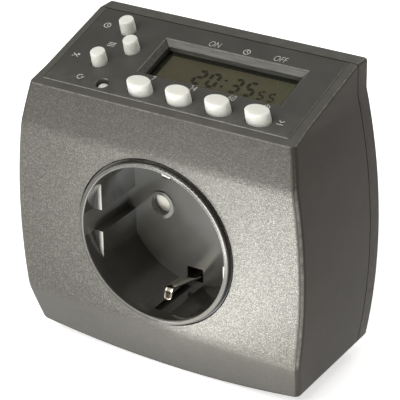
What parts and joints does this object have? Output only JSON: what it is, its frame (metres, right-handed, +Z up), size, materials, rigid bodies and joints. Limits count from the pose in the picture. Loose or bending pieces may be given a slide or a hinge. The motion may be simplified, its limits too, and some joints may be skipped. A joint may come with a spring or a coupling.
{
  "type": "plug-in digital timer switch",
  "caption": "Plug-in timer switch: box with bowed sides, earthed socket in front, plug behind, and a sloped panel with a display and push keys.",
  "frame": {"origin": "centre of the plug's end face, midway between the two pins where they come out", "axes": "+X to the right seen from the front, +Y back along the plug pins towards the wall, +Z up"},
  "size_m": [0.0814, 0.0751, 0.0813],
  "materials": {
    "shell_plastic": "fine spark-eroded texture, satin, dark warm grey",
    "fascia_plastic": "smooth satin dark grey with white print",
    "cover_plastic": "fine texture, dark warm grey",
    "socket_plastic": "polished dark grey",
    "shutter_plastic": "cream",
    "spring_steel": "drawn wire",
    "carrier_plastic": "off-white insulating moulding",
    "earth_plate": "nickel plated strip",
    "contact_brass": "stamped",
    "pin_nickel": "nickel plated",
    "window_clear": "clear acrylic",
    "lcd_glass": "olive reflective liquid crystal cell",
    "zebra_rubber": "striped conductive rubber",
    "board_laminate": "solder resist on laminate",
    "mat_rubber": "silicone",
    "chip_epoxy": "potting",
    "crystal_can": "plated can",
    "battery_can": "plated cell",
    "tab_nickel": "spot welded strip",
    "ribbon_film": "flat lead",
    "relay_case": "moulded case",
    "film_case": "moulded case",
    "electrolytic_sleeve": "shrink sleeve",
    "rectifier_epoxy": "moulded epoxy",
    "varistor_coat": "dipped epoxy",
    "resistor_coat": "flame-proof lacquer",
    "key_rubber": "warm white, fine matt",
    "pill_carbon": "carbon loaded rubber",
    "screw_steel": "zinc plated"
  },
  "bodies": {
    "housing": {"backup_battery": "battery_can", "battery_tabs": "tab_nickel", "contact_carrier": "carrier_plastic", "control_board": "board_laminate", "control_board_screws": "screw_steel", "control_fascia": "fascia_plastic", "controller_chip": "chip_epoxy", "cover_screws": "screw_steel", "display_window": "window_clear", "dropper_resistor": "resistor_coat", "earth_rivet": "contact_brass", "earth_strap": "earth_plate", "electrolytic_capacitor": "electrolytic_sleeve", "film_capacitor": "film_case", "front_shell": "shell_plastic", "keypad_mat": "mat_rubber", "lcd_panel": "lcd_glass", "line_busbar": "contact_brass", "line_contact": "contact_brass", "line_pin": "pin_nickel", "neutral_contact": "contact_brass", "neutral_pin": "pin_nickel", "plug_earth_strap": "earth_plate", "power_board": "board_laminate", "power_board_screws": "screw_steel", "quartz_crystal": "crystal_can", "rear_cover": "cover_plastic", "rectifier": "rectifier_epoxy", "relay": "relay_case", "ribbon_cable": "ribbon_film", "socket_insert": "socket_plastic", "varistor": "varistor_coat", "zebra_strip": "zebra_rubber"},
    "clock_key": {"clock_key": "key_rubber", "clock_key_pill": "pill_carbon"},
    "program_key": {"program_key": "key_rubber", "program_key_pill": "pill_carbon"},
    "random_key": {"random_key": "key_rubber", "random_key_pill": "pill_carbon"},
    "reset_key": {"reset_key": "key_rubber", "reset_key_pill": "pill_carbon"},
    "week_key": {"week_key": "key_rubber", "week_key_pill": "pill_carbon"},
    "hour_key": {"hour_key": "key_rubber", "hour_key_pill": "pill_carbon"},
    "minute_key": {"minute_key": "key_rubber", "minute_key_pill": "pill_carbon"},
    "manual_key": {"manual_key": "key_rubber", "manual_key_pill": "pill_carbon"},
    "shutter": {"shutter": "shutter_plastic", "shutter_spring": "spring_steel"}
  },
  "joints": [
    {"name": "clock_key_press", "type": "slide", "parent": "housing", "child": "clock_key", "axis": [0, 0.2789, -0.9603], "range_m": [0, 0.0008], "stiffness_N_per_m": 600},
    {"name": "program_key_press", "type": "slide", "parent": "housing", "child": "program_key", "axis": [0, 0.2789, -0.9603], "range_m": [0, 0.0008], "stiffness_N_per_m": 600},
    {"name": "random_key_press", "type": "slide", "parent": "housing", "child": "random_key", "axis": [0, 0.2789, -0.9603], "range_m": [0, 0.0008], "stiffness_N_per_m": 600},
    {"name": "reset_key_press", "type": "slide", "parent": "housing", "child": "reset_key", "axis": [0, 0.2789, -0.9603], "range_m": [0, 0.0008], "stiffness_N_per_m": 600},
    {"name": "week_key_press", "type": "slide", "parent": "housing", "child": "week_key", "axis": [0, 0.2789, -0.9603], "range_m": [0, 0.0008], "stiffness_N_per_m": 600},
    {"name": "hour_key_press", "type": "slide", "parent": "housing", "child": "hour_key", "axis": [0, 0.2789, -0.9603], "range_m": [0, 0.0008], "stiffness_N_per_m": 600},
    {"name": "minute_key_press", "type": "slide", "parent": "housing", "child": "minute_key", "axis": [0, 0.2789, -0.9603], "range_m": [0, 0.0008], "stiffness_N_per_m": 600},
    {"name": "manual_key_press", "type": "slide", "parent": "housing", "child": "manual_key", "axis": [0, 0.2789, -0.9603], "range_m": [0, 0.0008], "stiffness_N_per_m": 600},
    {"name": "shutter_turn", "type": "hinge", "parent": "housing", "child": "shutter", "pos_m": [0, -0.0342, 0], "axis": [0, 1, 0], "range_deg": [0, 45], "stiffness_Nm_per_rad": 0.01}
  ]
}
